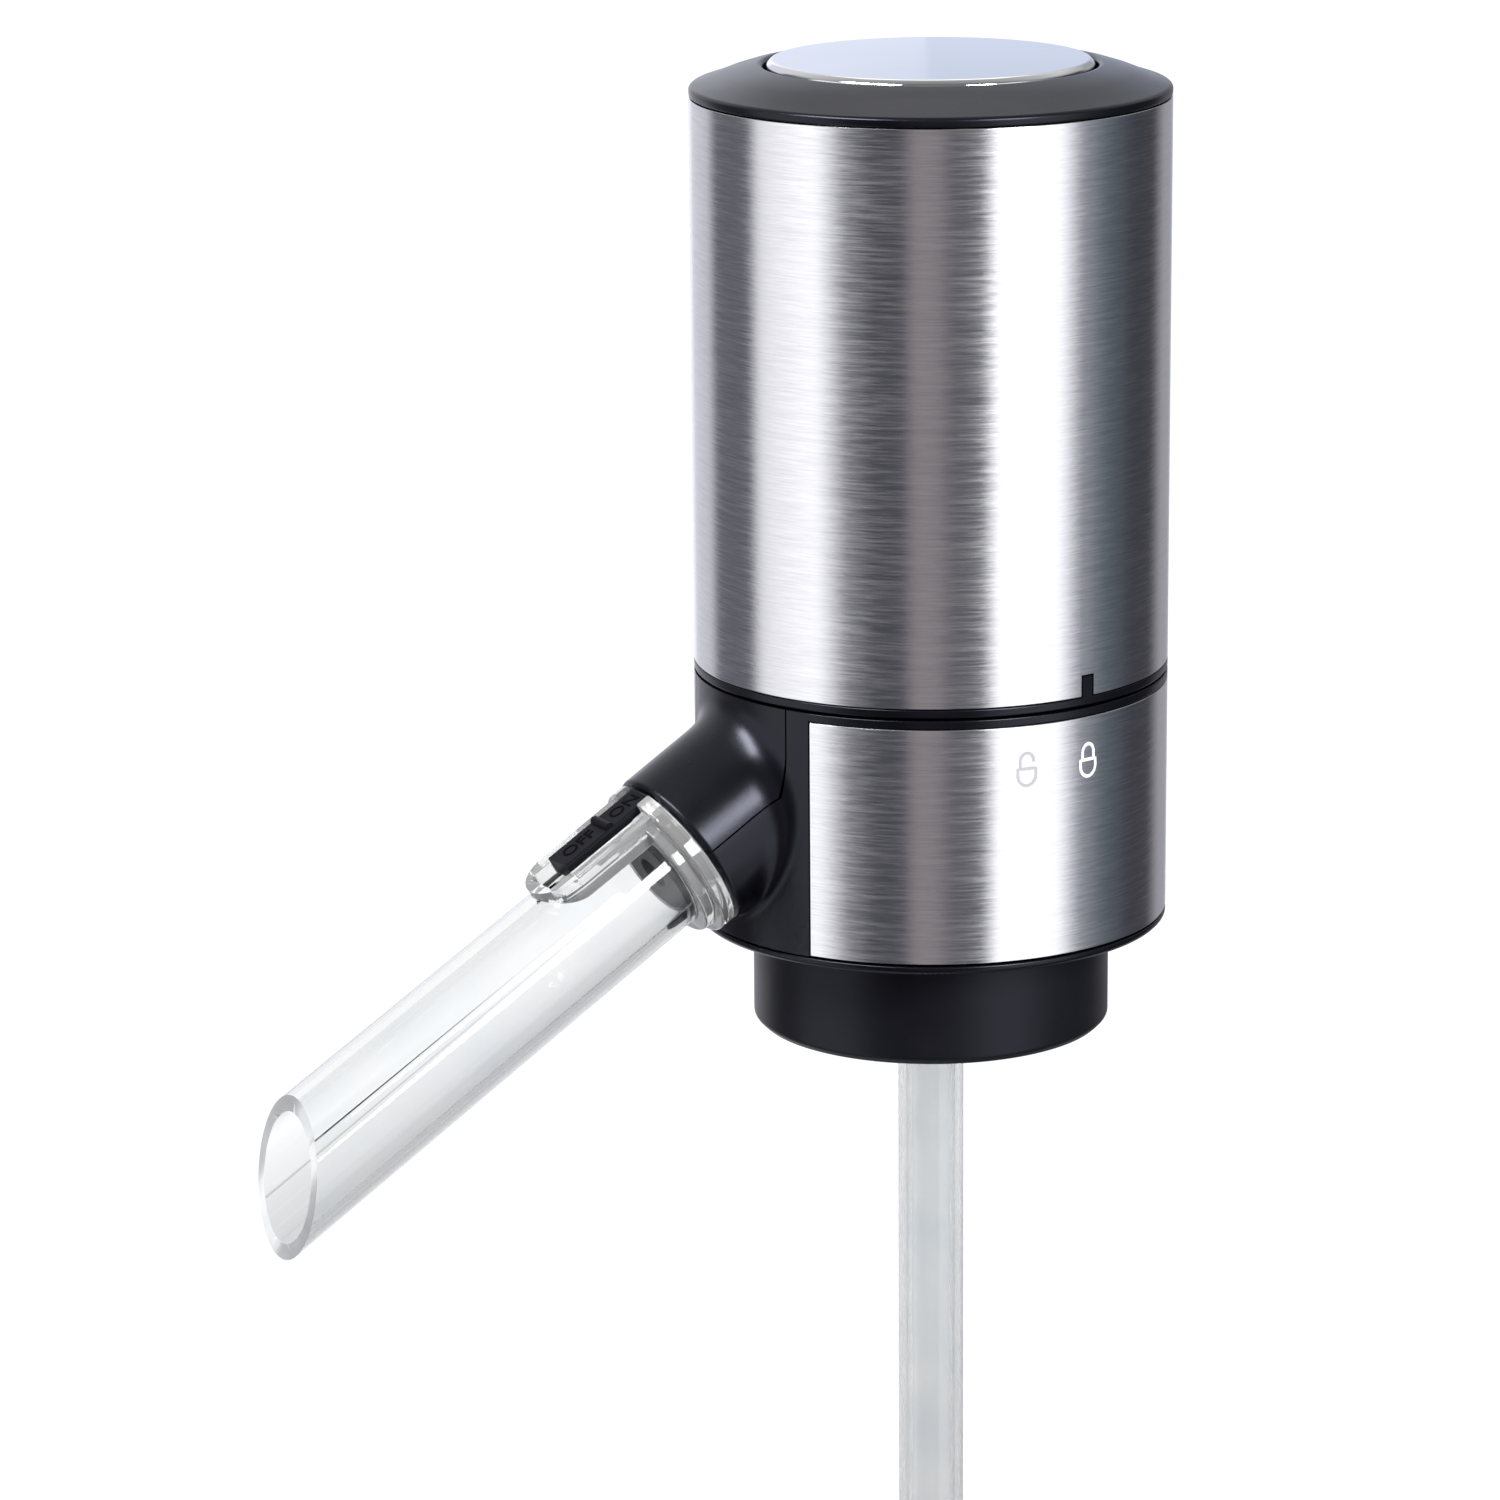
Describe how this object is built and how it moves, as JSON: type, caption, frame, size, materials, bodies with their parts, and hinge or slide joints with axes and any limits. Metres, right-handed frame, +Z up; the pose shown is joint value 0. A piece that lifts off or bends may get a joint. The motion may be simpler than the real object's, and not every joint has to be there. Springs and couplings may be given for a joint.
{
  "type": "electric wine aerator",
  "caption": "Battery wine aerator that stands on a bottle's neck: steel-sleeved pump body, black base, pull-off clear spout with an air slider, chrome push button, telescoping dip tube.",
  "frame": {"origin": "on the body's axis, in the plane of the collar's lower face, where the bottle's neck enters", "axes": "+Z up along the body's axis, +X to the right and -Y to the viewer in the picture; the spout points down and outwards, 148.4 degrees clockwise from +X seen from above"},
  "size_m": [0.1069, 0.0807, 0.2679],
  "materials": {
    "black_plastic": "satin black, slightly bluish",
    "collar_plastic": "satin black",
    "silicone": "dull dark grey silicone",
    "brushed_steel": "stainless steel, brushed round the body",
    "button_chrome": "polished plating",
    "clear_plastic": "clear, polished",
    "tube_plastic": "clear, slightly milky",
    "inner_plastic": "moulded, plain",
    "slider_plastic": "matt black",
    "pump_plastic": "cream, moulded",
    "hose_silicone": "cream silicone",
    "plain_steel": "plated steel",
    "motor_steel": "plated steel",
    "wheel_brass": "turned",
    "battery_wrap": "plain printed wrap",
    "board_green": "solder resist",
    "lead_red": "insulation",
    "lead_black": "insulation"
  },
  "bodies": {
    "base": {"base_housing": "black_plastic", "nozzle_cover": "black_plastic", "base_panel": "brushed_steel", "base_plate": "black_plastic", "bottle_collar": "collar_plastic", "bottle_seal": "silicone", "plate_screw_1": "plain_steel", "plate_screw_2": "plain_steel", "plate_screw_3": "plain_steel", "wine_elbow": "inner_plastic", "spout_socket": "inner_plastic", "dip_tube_upper": "tube_plastic", "air_nipple": "pump_plastic", "air_hose": "hose_silicone", "battery_holder": "inner_plastic", "battery_1": "battery_wrap", "battery_2": "battery_wrap", "battery_3": "battery_wrap", "battery_4": "battery_wrap", "contact_lower_1": "plain_steel", "contact_lower_2": "plain_steel", "contact_lower_3": "plain_steel", "contact_lower_4": "plain_steel", "contact_upper_1": "plain_steel", "contact_upper_2": "plain_steel", "contact_upper_3": "plain_steel", "contact_upper_4": "plain_steel", "holder_screw_1": "plain_steel", "holder_screw_2": "plain_steel", "circuit_board": "board_green", "tact_switch": "inner_plastic", "board_screw_1": "plain_steel", "board_screw_2": "plain_steel", "motor_can": "motor_steel", "motor_end_bell": "inner_plastic", "motor_lead_1": "lead_red", "motor_lead_2": "lead_black", "pump_housing": "pump_plastic", "pump_diaphragm": "silicone", "pump_valve_plate": "pump_plastic", "pump_head": "pump_plastic", "pump_screw_1": "plain_steel", "pump_screw_2": "plain_steel"},
    "pump_rotor": {"motor_shaft": "plain_steel", "eccentric_wheel": "wheel_brass"},
    "swash": {"swash_plate": "pump_plastic"},
    "cover": {"steel_sleeve": "brushed_steel", "cover_liner": "black_plastic", "top_bezel": "black_plastic", "bezel_screw_1": "plain_steel", "bezel_screw_2": "plain_steel", "bezel_screw_3": "plain_steel"},
    "button": {"button_cap": "button_chrome", "button_plunger": "inner_plastic", "button_spring": "plain_steel"},
    "spout": {"spout_tube": "clear_plastic", "spout_o_ring": "silicone", "aerator_insert": "inner_plastic"},
    "slider": {"air_slider": "slider_plastic"},
    "lower_tube": {"dip_tube_lower": "tube_plastic"}
  },
  "joints": [
    {"name": "cover_twist", "type": "hinge", "parent": "base", "child": "cover", "pos_m": [0, 0, 0.045], "axis": [0, 0, 1], "range_deg": [-17, 0]},
    {"name": "button_press", "type": "slide", "parent": "cover", "child": "button", "axis": [0, 0, -1], "range_m": [0, 0.001], "stiffness_N_per_m": 1200, "springref_m": -0.0008, "deforming": ["button_spring"]},
    {"name": "spout_pull", "type": "slide", "parent": "base", "child": "spout", "axis": [-0.7293, -0.4487, -0.5165], "range_m": [0, 0.018]},
    {"name": "air_slide", "type": "slide", "parent": "spout", "child": "slider", "axis": [-0.7293, -0.4487, -0.5165], "range_m": [0, 0.0028]},
    {"name": "dip_tube_extend", "type": "slide", "parent": "base", "child": "lower_tube", "axis": [0, 0, -1], "range_m": [0, 0.13]},
    {"name": "pump_spin", "type": "hinge", "parent": "base", "child": "pump_rotor", "pos_m": [0, 0, 0.0563], "axis": [0, 0, 1], "continuous": true},
    {"name": "swash_nutation", "type": "hinge", "parent": "pump_rotor", "child": "swash", "pos_m": [0, 0, 0.0563], "axis": [0.0785, 0, 0.9969], "continuous": true}
  ],
  "couplings": [
    {"joint": "swash_nutation", "follows": "pump_spin", "ratio": -1}
  ]
}
